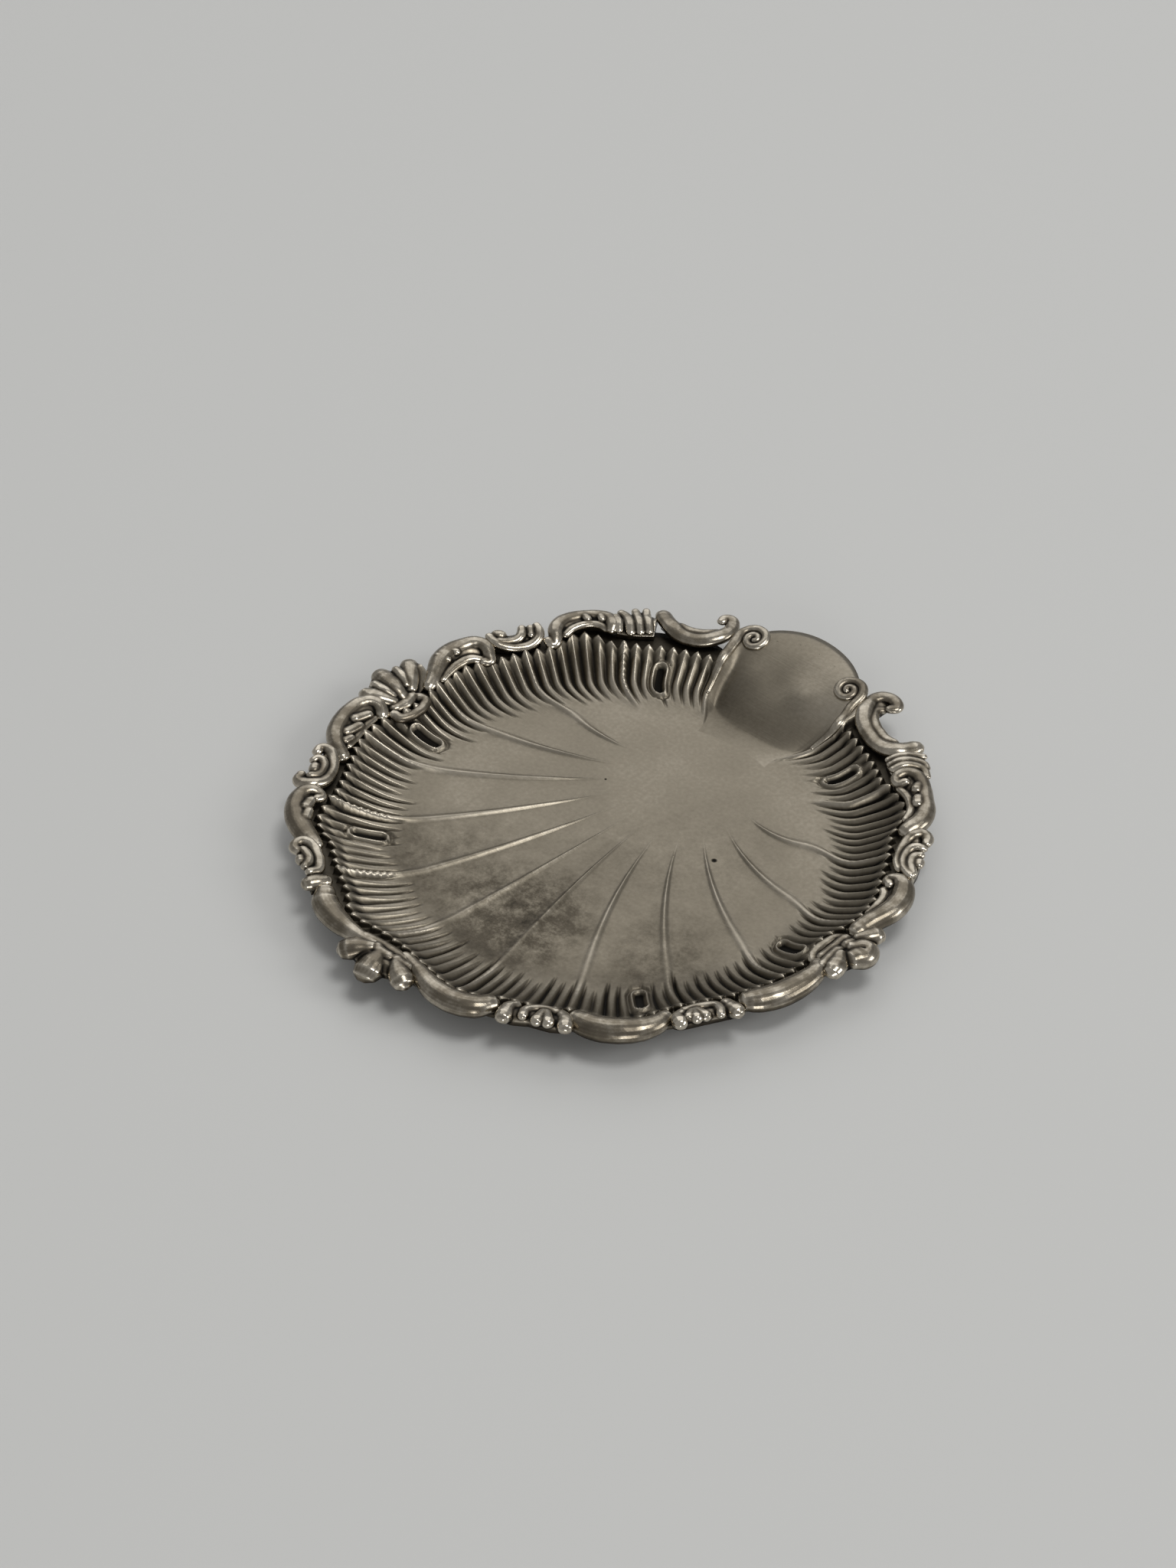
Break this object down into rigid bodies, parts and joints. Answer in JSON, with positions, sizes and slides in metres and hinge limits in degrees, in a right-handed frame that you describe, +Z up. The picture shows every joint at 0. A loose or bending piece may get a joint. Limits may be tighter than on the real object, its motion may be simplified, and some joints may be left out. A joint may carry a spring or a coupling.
{
  "type": "serving platter",
  "caption": "Shallow round scallop-shell serving dish: a fluted sheet-metal well with a plain thumb tab, and a cast border of scrolls, waves and shells soldered on its flange.",
  "frame": {"origin": "centre of the flat underside of the dish's floor, on the surface it stands on", "axes": "+Z up, +Y toward the middle of the thumb tab, +X to the right as seen from above with the tab away from the viewer"},
  "size_m": [0.2192, 0.2236, 0.015],
  "materials": {
    "well_silver": "satin silver plate, warm grey tarnish, dark in the flutes",
    "border_silver": "polished silver plate, dark tarnish in the recesses",
    "scroll_silver": "polished silver plate, dark tarnish in the recesses"
  },
  "bodies": {
    "root": {"dish_body": "well_silver", "right_tab_scroll": "scroll_silver", "left_tab_scroll": "scroll_silver", "right_open_scroll": "border_silver", "right_fan_collar": "border_silver", "right_first_scroll": "border_silver", "right_first_wave": "border_silver", "right_second_scroll": "border_silver", "right_side_shell": "border_silver", "right_third_scroll": "border_silver", "right_second_wave": "border_silver", "right_fourth_scroll": "border_silver", "right_third_wave": "border_silver", "right_fifth_scroll": "border_silver", "end_shell": "border_silver", "left_fifth_scroll": "border_silver", "left_third_wave": "border_silver", "left_fourth_scroll": "border_silver", "left_second_wave": "border_silver", "left_third_scroll": "border_silver", "left_side_shell": "border_silver", "left_second_scroll": "border_silver", "left_first_wave": "border_silver", "left_first_scroll": "border_silver", "left_fan_collar": "border_silver", "left_open_scroll": "border_silver"}
  },
  "joints": []
}
